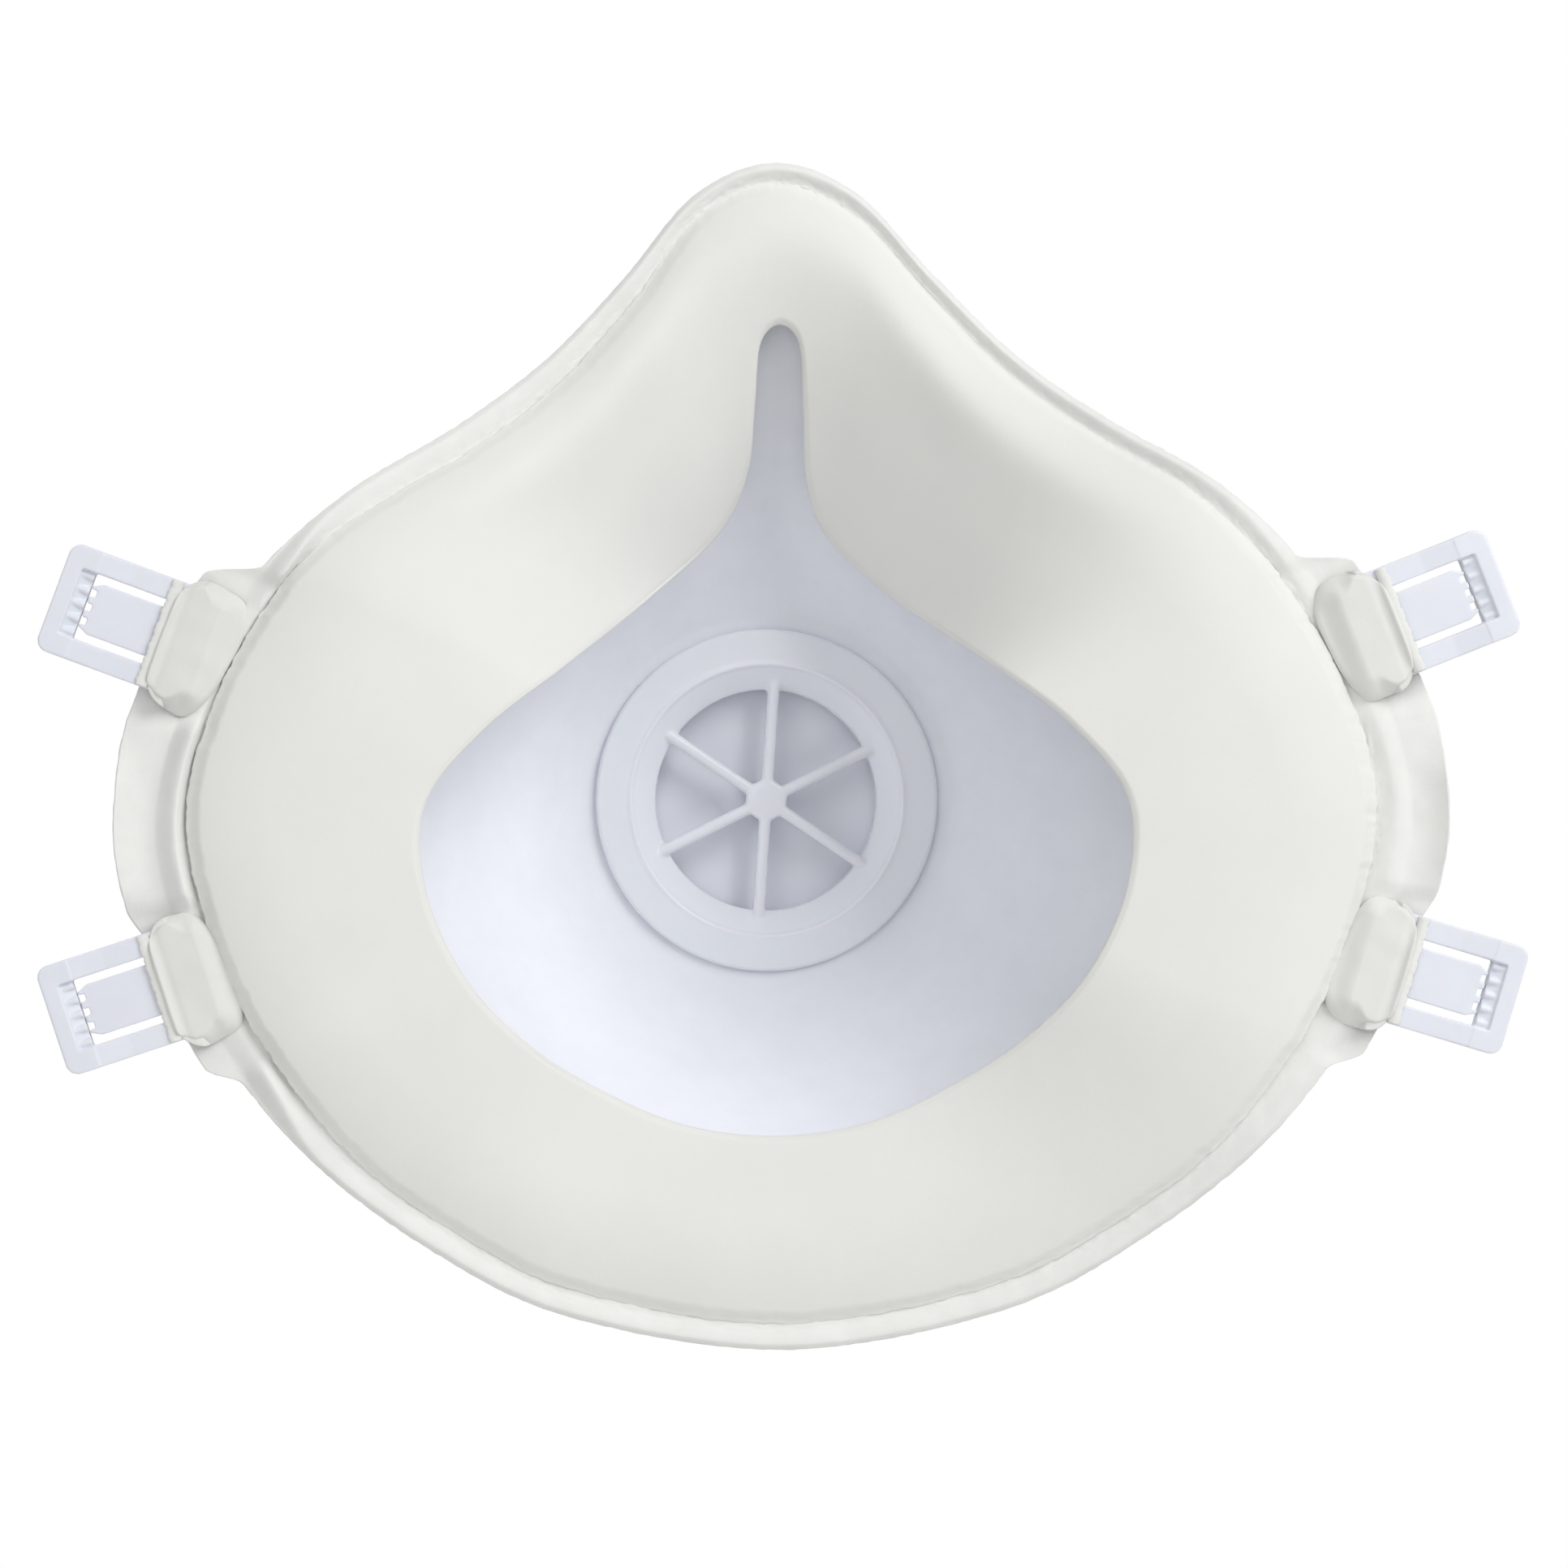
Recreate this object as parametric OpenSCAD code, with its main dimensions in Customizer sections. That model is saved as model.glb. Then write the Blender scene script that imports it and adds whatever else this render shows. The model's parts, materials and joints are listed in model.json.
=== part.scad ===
// Cup-shaped disposable dust mask with an exhalation valve and four strap buckles.
// Millimetres. +X is the left-to-right width, +Z runs from chin to nose, and +Y points
// away from the wearer, through the valve. Y = 0 is the plane of the cheek flanges.

/* [Cup] */
// Width of the trimmed rim, without the side flanges
cup_w = 142; // [138:1:146]
// Height of the trimmed rim, from chin to nose
cup_h = 136; // [132:1:140]
// Depth from the cheek flanges to the inside of the valve flat
cup_depth = 40; // [38:0.5:42]
// How far the rim at the nose stands forward of the cheeks
nose_forward = 14; // [12:0.5:15]
// How far the rim at the chin stands forward of the cheeks
chin_forward = 8; // [6:0.5:9]
// How far the side flanges stand out past the rim
flange_w = 4.3; // [3.8:0.1:4.6]

/* [Layers] */
// Thickness of the moulded inner shell
inner_t = 0.9; // [0.8:0.1:1.0]
// Thickness of the filter media
filter_t = 0.7; // [0.6:0.1:0.8]
// Thickness of the outer cover web
cover_t = 1.0; // [0.9:0.1:1.1]
// Thickness of the foam face seal
seal_t = 2.2; // [1.8:0.1:2.4]
// Height of the seal's rounded crest above the rim plane
seal_crest = 3.5; // [3:0.1:4]

/* [Valve] */
// Outer radius of the valve seat's flange
seat_flange_r = 20.4; // [20:0.1:20.8]
// Radius of the valve seat's bore
bore_r = 13.2; // [12.8:0.1:13.6]
// Lift of the diaphragm off its seat
diaphragm_lift = 1.5; // [1:0.1:1.6]

/* [Buckles] */
// Width across a buckle's rails
buckle_w = 12.7; // [12.2:0.1:13]
// Length of a buckle from its hinge to its outer edge
buckle_l = 14.5; // [14.1:0.1:14.9]
// Tilt of the upper buckles above the horizontal, in degrees
upper_tilt = 21; // [18:1:24]
// Tilt of the lower buckles below the horizontal, in degrees
lower_tilt = 17.5; // [15:0.5:20]

/* [Hidden] */
// One row for each buckle: name, side (+1 or -1 in X), hinge X, hinge Z, tilt
CORNERS = [
    ["upper_left", -1, 68, 13.9, upper_tilt],
    ["upper_right", 1, 68, 13.9, upper_tilt],
    ["lower_left", -1, 68.5, -24.5, -lower_tilt],
    ["lower_right", 1, 68.5, -24.5, -lower_tilt],
];
CUP_NODES = ["outer_cover", "filter_media", "inner_shell", "face_seal", "nose_clip"];
VALVE_NODES = ["valve_seat", "valve_diaphragm", "valve_cover"];
BUCKLE_NODES = ["buckle_anchor", "buckle_frame", "buckle_tongue", "ear_patch"];

curve_fn = 64;

// Half outlines in X and Z, from nose to chin, point for point: the rim and the seal's opening
RIM = [[0, 68.1], [9.3, 64.5], [17.7, 55.1], [27.1, 45.5], [37.4, 37.8], [49.1, 30.4],
       [59.4, 20.6], [67.2, 8], [71, -5], [69.5, -17], [64, -31.4], [53.6, -44.7],
       [39.5, -55.8], [24.2, -63.4], [0, -67.4]];
OPENING = [[0, 50.2], [2.4, 48], [3.1, 41], [3.8, 33], [6.6, 26.3], [14, 19.1],
           [24.5, 10.6], [33.5, 3.4], [40, -5], [39.8, -15.2], [35.2, -25.2], [28, -32.8],
           [19.5, -38.3], [10.4, -42.2], [0, -43.6]];
rim_nominal_w = 142;
rim_nominal_h = 136;
scale_x = cup_w / rim_nominal_w;
scale_z = cup_h / rim_nominal_h;

// The valve's axis runs along +Y through this X, Z
valve_c = [0, -5];
flat_r = 21.5;            // the cup is flat round the valve out to here
shell_hole_r = 17.2;      // hole through the three shell layers
seam_in = 3.2;            // the shell layers and the seal end this far inside the rim
layer_gap = 0.04;         // between bonded layers, so that no two solids share a face
cover_gap = 0.16;         // under the cover, whose facets are finer than the filter's
bell_power = 0.7;         // below 1 pushes the steep part of the dome towards the valve
level_sine = 0.42;        // the rim stays level while |sin(angle)| is below this
crest_run = 15;           // the seal rises to its crest over this distance from the rim
seal_follow_side = 0.08;  // how closely the seal follows the dome: at the cheeks,
seal_follow_chin = 0.16;  // at the chin,
seal_follow_nose = 0.92;  // and at the nose
flange_top = 22;          // angles where the side flanges start and end
flange_bottom = -24;
flange_ramp = 3;
edge_trim = 0.2;          // flange left all round by the trimming cut
lower_ear_cut = 0.33;     // share of the flange's width missing at the lower ears
upper_ear_add = 0.8;      // and how much wider it is at the upper ears

// ---- Curves -------------------------------------------------------------------------

function spline_point(a, b, c, d, t) =
    0.5 * (2 * b + (c - a) * t + (2 * a - 5 * b + 4 * c - d) * t * t
           + (3 * b - a - 3 * c + d) * t * t * t);

// A smooth half outline of `steps` points a span, with level ends on the centreline
function smooth_half(points, steps) =
    let (last = len(points) - 1,
         p = concat([[-points[1].x, points[1].y]], points,
                    [[-points[last - 1].x, points[last - 1].y]]))
    concat([for (i = [1:last], k = [0:steps - 1])
                spline_point(p[i - 1], p[i], p[i + 1], p[i + 2], k / steps)],
           [points[last]]);

// The whole closed outline, clockwise from the nose, as seen by the wearer
function smooth_loop(points, steps) =
    let (scaled = [for (p = points) [p.x * scale_x, p.y * scale_z]],
         half = smooth_half(scaled, steps), last = len(half) - 1)
    concat(half, [for (i = [last - 1:-1:1]) [-half[i].x, half[i].y]]);

function polar_r(p) = norm(p - valve_c);
function polar_angle(p) = atan2(p.y - valve_c.y, p.x - valve_c.x);
function at_polar(angle, r) = valve_c + r * [cos(angle), sin(angle)];
function ease(x) = let (t = min(1, max(0, x))) t * t * (3 - 2 * t);

// Rim radius against angle, on the +X side, from the chin up
RIM_TABLE = let (half = smooth_half([for (p = RIM) [p.x * scale_x, p.y * scale_z]], 6),
                 last = len(half) - 1)
    [for (i = [last:-1:0]) [polar_angle(half[i]), polar_r(half[i])]];
function mirrored_angle(angle) = asin(sin(angle));
function rim_r(angle) = lookup(mirrored_angle(angle), RIM_TABLE);

// How far forward the rim stands at an angle round the valve's axis
function rim_y(angle) =
    let (s = sin(angle), rise = ease((abs(s) - level_sine) / (1 - level_sine)))
    rise * (s > 0 ? nose_forward : chin_forward);

function dome_fraction(r, angle) = min(1, max(0, (r - flat_r) / (rim_r(angle) - flat_r)));
function bell(v) = (1 + cos(180 * pow(v, bell_power))) / 2;

// Wearer's side of the inner shell, and how much thicker a layer is along Y on its slope
function dome_y_polar(r, angle) =
    rim_y(angle) + (cup_depth - rim_y(angle)) * bell(dome_fraction(r, angle));
function dome_y(p) = dome_y_polar(polar_r(p), polar_angle(p));
function slope_factor(p) =
    let (r = polar_r(p), a = polar_angle(p), step = 1,
         rise = (dome_y_polar(r + step, a) - dome_y_polar(r - step, a)) / (2 * step))
    min(1.7, sqrt(1 + rise * rise));
function layer_y(p, depth) = dome_y(p) + depth * slope_factor(p);

// Wearer's side of the face seal
function seal_follow(angle) =
    let (s = sin(angle))
    seal_follow_side + (s > 0 ? (seal_follow_nose - seal_follow_side) * pow(s, 2.2)
                              : (seal_follow_chin - seal_follow_side) * pow(-s, 2.2));
function seal_face_y(p) =
    let (angle = polar_angle(p), base = rim_y(angle),
         run = min(1, (rim_r(angle) - polar_r(p)) / crest_run))
    base + seal_follow(angle) * (dome_y(p) - base) - seal_crest * (1 - pow(1 - run, 2));
function seal_back_y(p) = min(seal_face_y(p) + seal_t, dome_y(p) - layer_gap);

// ---- Swept sheets -------------------------------------------------------------------

// A closed ring-shaped sheet. front and back hold rows of points, inner row first.
module sheet(front, back) {
    rows = len(front);
    count = len(front[0]);
    points = concat([for (row = front) each row], [for (row = back) each row]);
    half = rows * count;
    function at(side, row, i) = side * half + row * count + i % count;
    polyhedron(points, concat(
        [for (j = [0:rows - 2], i = [0:count - 1]) each [
            [at(0, j, i), at(0, j + 1, i + 1), at(0, j, i + 1)],
            [at(0, j, i), at(0, j + 1, i), at(0, j + 1, i + 1)],
            [at(1, j, i), at(1, j, i + 1), at(1, j + 1, i + 1)],
            [at(1, j, i), at(1, j + 1, i + 1), at(1, j + 1, i)]]],
        [for (i = [0:count - 1]) each [
            [at(0, 0, i), at(0, 0, i + 1), at(1, 0, i + 1)],
            [at(0, 0, i), at(1, 0, i + 1), at(1, 0, i)],
            [at(0, rows - 1, i), at(1, rows - 1, i + 1), at(0, rows - 1, i + 1)],
            [at(0, rows - 1, i), at(1, rows - 1, i), at(1, rows - 1, i + 1)]]]));
}

function lifted(p, y) = [p.x, y, p.y];
function mix(a, b, t) = a + (b - a) * t;

// Row 0 is the valve hole, row 1 the edge of the flat, and the last is `inset` inside the rim
function shell_point(angle, row, rows, inset) =
    at_polar(angle, row == 0 ? shell_hole_r
                             : mix(flat_r, rim_r(angle) - inset, (row - 1) / (rows - 1)));

// A shell layer between two depths, from the valve hole to the seam inside the rim
module shell_layer(depth_in, depth_out, spans, rows) {
    angles = [for (p = smooth_loop(RIM, spans)) polar_angle(p)];
    grid = [for (j = [0:rows]) [for (a = angles) shell_point(a, j, rows, seam_in)]];
    sheet([for (row = grid) [for (p = row) lifted(p, layer_y(p, depth_in))]],
          [for (row = grid) [for (p = row) lifted(p, layer_y(p, depth_out))]]);
}

// ---- Cup ----------------------------------------------------------------------------

inner_depth = inner_t;
filter_depth = inner_depth + layer_gap + filter_t;
cover_depth = filter_depth + cover_gap + cover_t;

// Side flange width past the rim, 1 inside the flange's stretch and 0 outside it
function flange_window(angle) =
    let (a = mirrored_angle(angle))
    ease((flange_top + flange_ramp - a) / flange_ramp)
    * ease((a - flange_bottom + flange_ramp) / flange_ramp);
function flange_reach(angle) =
    let (a = mirrored_angle(angle),
         full = flange_w * (1 - lower_ear_cut * ease((-8.5 - a) / 4)) + upper_ear_add * ease(a / 8))
    mix(edge_trim, full, flange_window(angle));

// 1 across the ears that hold the buckles, where the rim's bead is pressed flat
function ear_window(angle) =
    let (a = mirrored_angle(angle))
    max(ease((a - 7) / 2) * ease((25 - a) / 2), ease((-8 - a) / 2) * ease((a + 27) / 2));

// 1 at the middle of the lobe between a side's two ears
function lobe_window(angle) =
    let (a = mirrored_angle(angle)) ease((7 - a) / 6) * ease((a + 10) / 6);

bead_h = 1.9;
valley_y = -0.2;
ear_floor_y = 0.25;
lobe_rise = 1.6;
edge_t = 1.3;

// Inside and outside faces of the cover near its edge: [distance inside the rim, Y in,
// Y out], from the seam to the rim, where `bead` is 1 or, across an ear, 0
function edge_rows(bead) = [
    [seam_in - 0.2, mix(ear_floor_y, -0.1, bead), cover_depth],
    [2.4, mix(ear_floor_y, -1.2, bead), cover_depth - 0.1],
    [1.5, mix(ear_floor_y, -bead_h, bead), cover_depth - 0.4],
    [0.8, mix(ear_floor_y, -1.3, bead), cover_depth - 1],
    [0.3, mix(ear_floor_y, valley_y, bead), mix(ear_floor_y, valley_y, bead) + edge_t],
];

module outer_cover() {
    spans = 4;
    dome_rows = 7;
    angles = [for (p = smooth_loop(RIM, spans)) polar_angle(p)];
    inside_r = seam_in + 0.1;
    dome = [for (j = [0:dome_rows]) [for (a = angles) shell_point(a, j, dome_rows, inside_r)]];
    function edge_point(a, row, side) =
        let (spec = edge_rows(1 - ear_window(a))[row])
        lifted(at_polar(a, rim_r(a) - spec[0]), rim_y(a) + spec[side]);
    function flange_point(a, part, thickness) =
        lifted(at_polar(a, rim_r(a) + flange_reach(a) * part),
               rim_y(a) + mix(valley_y, ear_floor_y, ear_window(a)) + thickness
               - lobe_rise * lobe_window(a) * part * part);
    color("ivory") sheet(
        concat([for (row = dome) [for (p = row) lifted(p, layer_y(p, filter_depth + cover_gap))]],
               [for (k = [0:4]) [for (a = angles) edge_point(a, k, 1)]],
               [for (part = [0.5, 1]) [for (a = angles) flange_point(a, part, 0)]]),
        concat([for (row = dome) [for (p = row) lifted(p, layer_y(p, cover_depth))]],
               [for (k = [0:4]) [for (a = angles) edge_point(a, k, 2)]],
               [for (part = [0.5, 1]) [for (a = angles) flange_point(a, part, edge_t)]]));
}

module filter_media() {
    color("white") shell_layer(inner_depth + layer_gap, filter_depth, 2, 7);
}

module inner_shell() {
    color("lavender") shell_layer(0, inner_depth, 2, 7);
}

module face_seal() {
    spans = 3;
    rows = 7;
    inner = smooth_loop(OPENING, spans);
    rim = smooth_loop(RIM, spans);
    outer = [for (p = rim) at_polar(polar_angle(p), polar_r(p) - seam_in)];
    grid = [for (j = [0:rows]) [for (i = [0:len(inner) - 1]) mix(inner[i], outer[i], j / rows)]];
    color("linen") sheet([for (row = grid) [for (p = row) lifted(p, seal_face_y(p))]],
                         [for (row = grid) [for (p = row) lifted(p, seal_back_y(p))]]);
}

// Soft metal strip glued across the nose, on the outside of the cup
clip_t = 0.8;
clip_w = 5;
clip_inset = 13;          // from the rim to the strip's middle
clip_half_angle = 47;
clip_glue = 0.35;         // between the strip and the cover

module nose_clip() {
    steps = 24;
    angles = [for (k = [0:steps]) 90 - clip_half_angle + 2 * clip_half_angle * k / steps];
    function corner(a, across, lift) =
        let (p = at_polar(a, rim_r(a) - clip_inset + across))
        lifted(p, layer_y(p, cover_depth + clip_glue + lift));
    points = [for (a = angles) each [corner(a, -clip_w / 2, 0), corner(a, clip_w / 2, 0),
                                     corner(a, clip_w / 2, clip_t), corner(a, -clip_w / 2, clip_t)]];
    color("silver") polyhedron(points, concat(
        [[0, 1, 2], [0, 2, 3]],
        [for (k = [0:steps - 1], side = [0:3])
            let (a = 4 * k + side, b = 4 * k + (side + 1) % 4) each [[a, a + 4, b + 4], [a, b + 4, b]]],
        [let (e = 4 * steps) each [[e, e + 2, e + 1], [e, e + 3, e + 2]]]));
}

// ---- Valve --------------------------------------------------------------------------

seat_flange_t = 1;
seat_lip_r = 16.4;        // inner edge of the flat flange
seat_body_r = 17;
seat_face = cup_depth - layer_gap - seat_flange_t;  // flange's wearer side
cone_depth = 2.6;         // from the flange's face down to the bore's edge
sealing_y = cup_depth + 6;      // tip of the ring that the diaphragm rests on
spoke_count = 6;
spoke_w = 1.4;
spoke_turn = 4.5;
hub_r = 2.3;
pin_r = 1.2;
pin_fit = 0.05;
rest_gap = 0.03;          // between the sealing ring and the diaphragm
diaphragm_t = 0.6;
diaphragm_r = 14.4;
cover_r = 22;
cover_h = 11;
cover_wall = 1.3;
shell_outside = cup_depth + cover_depth;

// Puts a shape made about +Z on the valve's axis, with its +Z along +Y
module on_valve_axis() {
    translate([valve_c.x, 0, valve_c.y]) rotate([-90, 0, 0]) children();
}

module spoke() {
    half = spoke_w / 2;
    crest = seat_face + cone_depth - 1;
    rotate([90, 0, 90]) linear_extrude(bore_r + 1)
        polygon([[-0.3, crest], [0.3, crest], [half, crest + 0.4], [half, crest + 2.1],
                 [-half, crest + 2.1], [-half, crest + 0.4]]);
}

module valve_seat() {
    hub_top = seat_face + cone_depth - 1.1;
    hub_base = sealing_y - 0.2;
    retainer_y = sealing_y + diaphragm_t + diaphragm_lift + 0.3;
    color("lightsteelblue") on_valve_axis() {
        rotate_extrude($fn = curve_fn) polygon([
            [bore_r, seat_face + cone_depth], [seat_lip_r - 0.6, seat_face + 0.35],
            [seat_lip_r - 0.1, seat_face], [seat_flange_r - 0.3, seat_face],
            [seat_flange_r, seat_face + 0.3], [seat_flange_r, seat_face + seat_flange_t],
            [seat_body_r, seat_face + seat_flange_t], [seat_body_r, sealing_y - 0.6],
            [bore_r + 1.2, sealing_y - 0.6],
            [bore_r + 0.9, sealing_y], [bore_r + 0.4, sealing_y], [bore_r, sealing_y - 0.6]]);
        for (k = [0:spoke_count - 1]) rotate(90 + spoke_turn + 360 / spoke_count * k) spoke();
        rotate_extrude($fn = curve_fn) polygon([
            [0, hub_top], [hub_r - 0.5, hub_top], [hub_r, hub_top + 0.5], [hub_r, hub_base],
            [pin_r, hub_base], [pin_r, retainer_y], [pin_r + 0.8, retainer_y],
            [pin_r + 0.8, retainer_y + 0.5], [pin_r, retainer_y + 0.8], [0, retainer_y + 0.8]]);
    }
}

module valve_diaphragm() {
    color("white") on_valve_axis() translate([0, 0, sealing_y + rest_gap])
        difference() {
            cylinder(r = diaphragm_r, h = diaphragm_t, $fn = curve_fn);
            translate([0, 0, -1]) cylinder(r = pin_r + pin_fit, h = diaphragm_t + 2, $fn = 32);
        }
}

// Domed louvred cap that stands on the cup's outside and grips the seat's body
module valve_cover() {
    base = shell_outside + layer_gap;
    slat_pitch = 4;
    slat_gap = 1.9;
    color("whitesmoke") on_valve_axis() difference() {
        rotate_extrude($fn = curve_fn) polygon([
            [seat_body_r + 0.05, base], [cover_r + 0.6, base], [cover_r + 0.6, base + 1],
            [cover_r, base + 1.2], [cover_r - 0.7, base + cover_h - 3],
            [cover_r - 2, base + cover_h - 1.2], [cover_r - 4.5, base + cover_h],
            [0, base + cover_h + 0.6], [0, base + cover_h + 0.6 - cover_wall],
            [cover_r - 5, base + cover_h - cover_wall],
            [cover_r - 2 - cover_wall, base + cover_h - 3],
            [cover_r - 0.4 - cover_wall, base + 1.6], [seat_body_r + 0.05, base + 1.6]]);
        for (k = [-3:3]) {
            half = sqrt(pow(cover_r - 6, 2) - pow(k * slat_pitch, 2));
            translate([-half, k * slat_pitch - slat_gap / 2, base + cover_h - 2])
                cube([2 * half, slat_gap, 4]);
        }
        for (k = [-4:4]) rotate(k * 12 + 90) translate([cover_r - 4, -1.2, base + 2.6])
            cube([6, 2.4, 4.6]);
    }
}

// ---- Buckles ------------------------------------------------------------------------

buckle_y = -1.2;          // middle of a buckle's thickness
frame_t = 1.5;
rail_w = 2.5;
bar_w = 3.6;
bar_t = 2.8;
barrel_r = 0.75;
hinge_gap = 0.25;
slot_w = 0.9;
tongue_t = 1.1;
tongue_w = buckle_w - 2 * (rail_w + slot_w);
bar_recess = 1.8;         // sloping inner part of the bar, where the ribs are
tooth_gap = 0.3;          // between the tongue's teeth and the bar
tooth_pitch = 1.64;       // of the teeth, and of the ribs that face their gaps
tooth_w = 0.84;
tooth_l = 0.5;
tongue_root = 2.2;        // from the buckle's hinge to the tongue's own hinge
tongue_barrel_r = 0.5;
anchor_t = 1.5;
anchor_l = 2.6;
corner_r = 1.4;

// Local frame of a corner: +X outwards along the buckle, Y as in the part, Z across it
module at_corner(c) {
    mirror([c[1] < 0 ? 1 : 0, 0, 0])
        translate([c[2] * scale_x, buckle_y, c[3] * scale_z]) rotate([0, -c[4], 0]) children();
}

// A bar across the buckle, centred on y and z
module across(r, length) {
    translate([0, 0, -length / 2]) cylinder(r = r, h = length, $fn = 32);
}

// An upright plate with rounded outer corners, in the local X, Z plane
module plate(x0, x1, width, thickness, radius) {
    translate([0, thickness / 2, 0]) rotate([90, 0, 0]) linear_extrude(thickness) {
        translate([x0, -width / 2]) square([x1 - x0 - radius, width]);
        translate([x1 - radius - 0.01, -width / 2 + radius]) square([radius + 0.01, width - 2 * radius]);
        for (s = [-1, 1]) translate([x1 - radius, s * (width / 2 - radius)]) circle(r = radius, $fn = 32);
    }
}

module buckle_anchor(c) {
    color("lightsteelblue") at_corner(c)
        translate([-anchor_l - barrel_r - hinge_gap, -anchor_t / 2, -buckle_w / 2 + 1])
            cube([anchor_l, anchor_t, buckle_w - 2]);
}

module buckle_frame(c) {
    window_start = tongue_root - tongue_barrel_r - 0.15;
    window_end = buckle_l - bar_w;
    window_half = tongue_w / 2 + slot_w;
    rib_r = 0.45;
    color("lightsteelblue") at_corner(c) {
        difference() {
            union() {
                across(barrel_r, buckle_w);
                plate(0, buckle_l, buckle_w, frame_t, corner_r);
                intersection() {
                    plate(0, buckle_l, buckle_w, bar_t, corner_r);
                    translate([window_end, -bar_t, -buckle_w]) cube([bar_w + 1, 2 * bar_t, 2 * buckle_w]);
                }
            }
            translate([window_start, -bar_t, -window_half])
                cube([window_end - window_start, 2 * bar_t, 2 * window_half]);
            translate([0, 0, -window_half]) linear_extrude(2 * window_half) polygon([
                [window_end - 1, -bar_t], [window_end + bar_recess, -bar_t],
                [window_end + bar_recess - 0.2, -0.9], [window_end - 1, 0]]);
        }
        for (k = [-2:2]) translate([window_end + 0.02, -0.5, k * tooth_pitch]) rotate([0, 90, 0])
            cylinder(r = rib_r, h = bar_recess - 0.3, $fn = 24);
    }
}

module buckle_tongue(c) {
    tip = buckle_l - bar_w - tooth_gap;
    half = tongue_w / 2;
    color("lightsteelblue") at_corner(c) {
        translate([tongue_root, 0, 0]) across(tongue_barrel_r, tongue_w);
        rotate([90, 0, 0]) linear_extrude(tongue_t, center = true) difference() {
            polygon([[tongue_root, -half], [tip - 1, -half], [tip, -half + 0.5],
                     [tip, half - 0.5], [tip - 1, half], [tongue_root, half]]);
            for (k = [-1:1]) translate([tip - tooth_l, (k - 0.5) * tooth_pitch + tooth_w / 2])
                square([1, tooth_pitch - tooth_w]);
        }
    }
}

// Soft oval patch welded over a buckle's anchor
module ear_patch(c) {
    patch_t = 1.4;
    patch_w = 5;
    patch_l = 14.5;
    end_r = patch_w / 2;
    centre_x = -barrel_r - hinge_gap - patch_w / 2;
    color("linen") at_corner(c)
        translate([centre_x, -anchor_t / 2 - layer_gap, 0]) rotate([90, 0, 0]) {
            for (s = [-1, 1]) translate([0, s * (patch_l / 2 - end_r), 0])
                cylinder(r = end_r, h = patch_t, $fn = 32);
            translate([-patch_w / 2, -patch_l / 2 + end_r, 0])
                cube([patch_w, patch_l - patch_w, patch_t]);
        }
}

outer_cover();
filter_media();
inner_shell();
face_seal();
nose_clip();
valve_seat();
valve_diaphragm();
valve_cover();
for (c = CORNERS) {
    buckle_anchor(c);
    buckle_frame(c);
    buckle_tongue(c);
    ear_patch(c);
}
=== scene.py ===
"""Disposable dust mask with an exhalation valve and four strap buckles, seen from the wearer's side.

Shapes are worked out in millimetres, in the frame of the CAD part, and every mesh is made in metres.
"""

import json
import math

import bpy
import numpy as np
from mathutils import Matrix, Vector

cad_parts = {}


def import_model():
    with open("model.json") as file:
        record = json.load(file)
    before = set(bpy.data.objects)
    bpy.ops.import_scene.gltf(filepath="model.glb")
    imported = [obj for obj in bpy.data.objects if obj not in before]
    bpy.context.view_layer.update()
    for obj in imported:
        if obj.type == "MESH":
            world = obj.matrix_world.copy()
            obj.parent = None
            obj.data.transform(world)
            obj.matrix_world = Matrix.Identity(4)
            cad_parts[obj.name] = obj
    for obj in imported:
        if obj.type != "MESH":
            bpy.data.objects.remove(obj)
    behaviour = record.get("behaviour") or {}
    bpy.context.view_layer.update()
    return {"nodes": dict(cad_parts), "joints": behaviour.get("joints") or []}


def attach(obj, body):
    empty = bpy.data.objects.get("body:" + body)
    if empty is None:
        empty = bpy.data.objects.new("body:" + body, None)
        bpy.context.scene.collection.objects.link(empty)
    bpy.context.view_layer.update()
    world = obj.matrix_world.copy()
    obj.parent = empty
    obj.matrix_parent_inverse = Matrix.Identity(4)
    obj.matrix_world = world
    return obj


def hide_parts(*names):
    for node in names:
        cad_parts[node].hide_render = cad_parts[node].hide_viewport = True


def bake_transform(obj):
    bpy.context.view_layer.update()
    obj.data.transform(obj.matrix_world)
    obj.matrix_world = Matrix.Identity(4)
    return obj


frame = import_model()
MM = 0.001
rng = np.random.default_rng(11)

# ---- Sizes shared with the CAD part ---------------------------------------------------

# Half outlines in X and Z, from nose to chin, point for point: the rim and the seal's opening
RIM = [[0, 68.1], [9.3, 64.5], [17.7, 55.1], [27.1, 45.5], [37.4, 37.8], [49.1, 30.4],
       [59.4, 20.6], [67.2, 8], [71, -5], [69.5, -17], [64, -31.4], [53.6, -44.7],
       [39.5, -55.8], [24.2, -63.4], [0, -67.4]]
OPENING = [[0, 50.2], [2.4, 48], [3.1, 41], [3.8, 33], [6.6, 26.3], [14, 19.1],
           [24.5, 10.6], [33.5, 3.4], [40, -5], [39.8, -15.2], [35.2, -25.2], [28, -32.8],
           [19.5, -38.3], [10.4, -42.2], [0, -43.6]]
VALVE_Z = -5
CUP_DEPTH = 40
NOSE_FORWARD, CHIN_FORWARD = 14, 8
FLAT_R, HOLE_R = 21.5, 17.2
BELL_POWER, LEVEL_SINE = 0.7, 0.42
INNER_T, FILTER_T, COVER_T, LAYER_GAP, COVER_GAP = 0.9, 0.7, 1.0, 0.04, 0.16
FILTER_DEPTH = INNER_T + LAYER_GAP + FILTER_T
COVER_DEPTH = FILTER_DEPTH + COVER_GAP + COVER_T
SEAL_T, SEAL_CREST, CREST_RUN = 2.2, 3.5, 15
SEAL_SIDE, SEAL_CHIN, SEAL_NOSE = 0.08, 0.16, 0.92
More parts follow.
